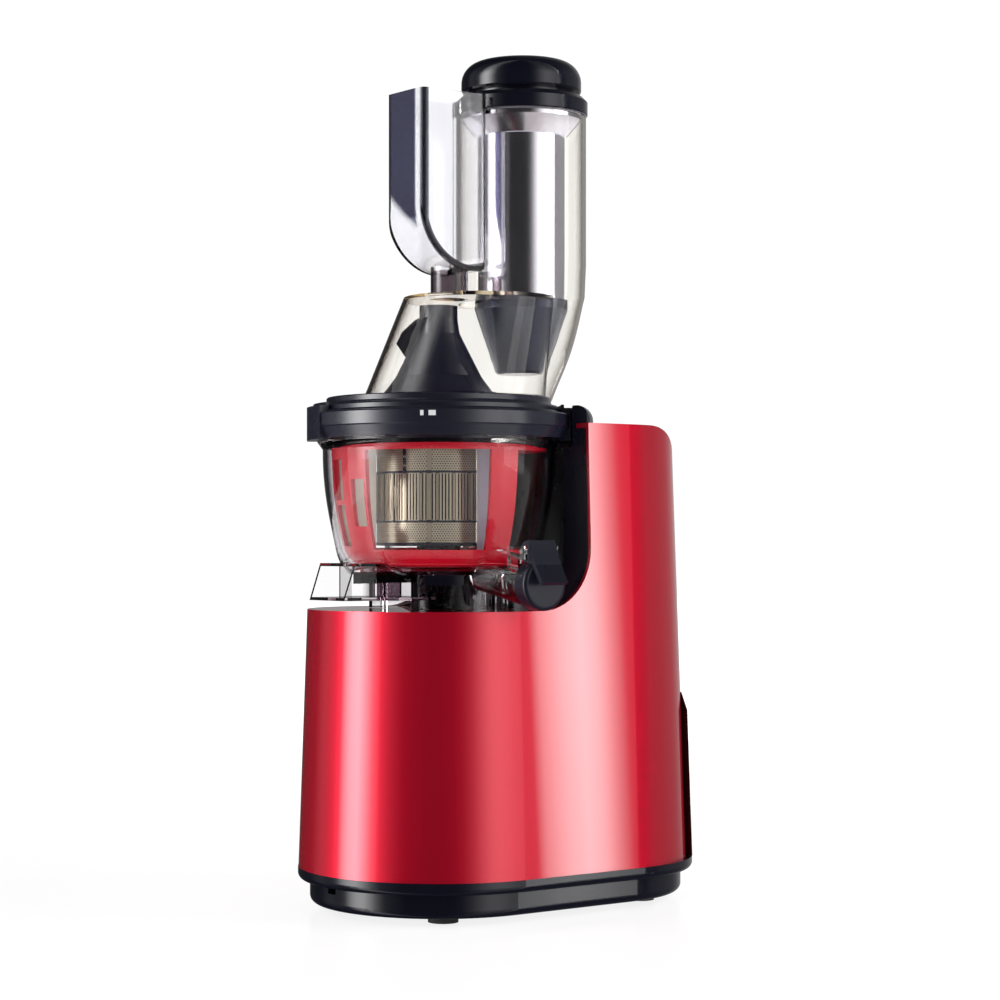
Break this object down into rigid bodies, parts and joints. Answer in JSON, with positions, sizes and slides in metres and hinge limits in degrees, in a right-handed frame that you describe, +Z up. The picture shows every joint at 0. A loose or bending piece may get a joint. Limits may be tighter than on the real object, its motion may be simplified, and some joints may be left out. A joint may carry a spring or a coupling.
{
  "type": "cold press juicer",
  "caption": "Vertical cold press juicer: motor base, bowl with strainer, brush and auger, lid with feed tube and side hopper, pusher.",
  "frame": {"origin": "on the drive axis, on the plane the feet stand on", "axes": "+Z up along the drive axis, -Y towards the rounded nose and the pulp outlet, +Y towards the column, +X towards the juice outlet"},
  "size_m": [0.1989, 0.2736, 0.522],
  "materials": {
    "red_gloss": "metallic candy gloss",
    "cover_maroon": "gloss",
    "black_gloss": "gloss",
    "black_matte": "fine matte",
    "rubber_black": "matte",
    "silicone": "satin translucent",
    "clear_plastic": "clear, faint warm tint",
    "red_plastic": "gloss",
    "steel": "brushed",
    "bright_metal": "polished",
    "slate_plastic": "gloss",
    "laminations": "plain",
    "cast_alloy": "cast",
    "copper": "varnished",
    "bronze": "plain",
    "gear_nylon": "plain",
    "board_green": "plain",
    "capacitor_grey": "plain",
    "mark_white": "plain"
  },
  "bodies": {
    "base": {"housing": "red_gloss", "column_panel": "black_gloss", "skirt_band": "black_gloss", "base_plinth": "black_gloss", "base_screws": "steel", "rubber_feet": "rubber_black", "rear_cover": "cover_maroon", "switch_bezel": "black_gloss", "power_inlet": "black_matte", "motor_stator": "laminations", "motor_windings": "copper", "motor_lower_plate": "cast_alloy", "motor_upper_plate": "black_matte", "motor_bearings": "steel", "motor_mounts": "rubber_black", "gearbox_case": "cast_alloy", "gearbox_lid": "cast_alloy", "gearbox_screws": "steel", "output_bushes": "bronze", "cluster_pin": "steel", "drive_collar": "black_gloss", "drive_seal": "rubber_black", "control_board": "board_green", "run_capacitor": "capacitor_grey", "interlock_switch": "black_matte"},
    "rotor": {"rotor_core": "laminations", "rotor_shaft": "steel", "cooling_fan": "gear_nylon"},
    "cluster": {"gear_cluster": "gear_nylon"},
    "drive": {"output_wheel": "gear_nylon", "drive_shaft": "steel"},
    "rocker": {"rocker_switch": "black_gloss"},
    "plunger": {"interlock_plunger": "black_matte"},
    "bowl": {"juicing_bowl": "clear_plastic", "bowl_base_ring": "rubber_black", "bowl_seal": "silicone", "cap_hinge_pin": "steel", "strainer_mesh": "steel", "strainer_frame": "steel", "idler_pin": "steel"},
    "juice_cap": {"spout_cap": "black_gloss", "cap_seal": "silicone"},
    "brush": {"brush_frame": "red_plastic", "brush_wipers": "silicone"},
    "idler": {"brush_idler": "gear_nylon"},
    "auger": {"auger": "black_gloss", "auger_insert": "steel", "sun_gear": "gear_nylon"},
    "lid": {"lid_ring": "black_gloss", "lid_gasket": "silicone", "align_marks": "mark_white", "feed_chute": "clear_plastic", "hopper": "clear_plastic", "hopper_clip": "black_matte"},
    "pusher": {"pusher_flange": "black_gloss", "pusher_cap": "black_gloss", "pusher_body": "bright_metal", "pusher_nose": "slate_plastic"}
  },
  "joints": [
    {"name": "rotor_spin", "type": "hinge", "parent": "base", "child": "rotor", "pos_m": [0, 0.027, 0.092], "axis": [0, 0, 1], "continuous": true},
    {"name": "cluster_spin", "type": "hinge", "parent": "base", "child": "cluster", "pos_m": [0, 0.063, 0.16], "axis": [0, 0, 1], "continuous": true},
    {"name": "drive_spin", "type": "hinge", "parent": "base", "child": "drive", "pos_m": [0, 0, 0.165], "axis": [0, 0, 1], "continuous": true},
    {"name": "bowl_lift", "type": "slide", "parent": "base", "child": "bowl", "axis": [0, 0, 1], "range_m": [0, 0.12]},
    {"name": "auger_spin", "type": "hinge", "parent": "bowl", "child": "auger", "pos_m": [0, 0, 0.26], "axis": [0, 0, 1], "continuous": true},
    {"name": "brush_idler_spin", "type": "hinge", "parent": "bowl", "child": "idler", "pos_m": [0, 0.025, 0.209], "axis": [0, 0, 1], "continuous": true},
    {"name": "brush_spin", "type": "hinge", "parent": "bowl", "child": "brush", "pos_m": [0, 0, 0.24], "axis": [0, 0, 1], "continuous": true},
    {"name": "juice_cap_swing", "type": "hinge", "parent": "bowl", "child": "juice_cap", "pos_m": [0.0975, 0, 0.217], "axis": [0, -1, 0], "range_deg": [0, 100]},
    {"name": "lid_lift", "type": "slide", "parent": "bowl", "child": "lid", "axis": [0, 0, 1], "range_m": [0, 0.11]},
    {"name": "pusher_slide", "type": "slide", "parent": "lid", "child": "pusher", "axis": [0, 0, 1], "range_m": [0, 0.17]},
    {"name": "rocker_rock", "type": "hinge", "parent": "base", "child": "rocker", "pos_m": [0, 0.16724, 0.098], "axis": [1, 0, 0], "range_deg": [0, 12]},
    {"name": "interlock_press", "type": "slide", "parent": "base", "child": "plunger", "axis": [0, 0, -1], "range_m": [0, 0.002], "stiffness_N_per_m": 300}
  ],
  "couplings": [
    {"joint": "cluster_spin", "follows": "rotor_spin", "ratio": -0.2},
    {"joint": "drive_spin", "follows": "rotor_spin", "ratio": 0.04},
    {"joint": "auger_spin", "follows": "rotor_spin", "ratio": 0.04},
    {"joint": "brush_idler_spin", "follows": "rotor_spin", "ratio": -0.06},
    {"joint": "brush_spin", "follows": "rotor_spin", "ratio": -0.017143}
  ]
}
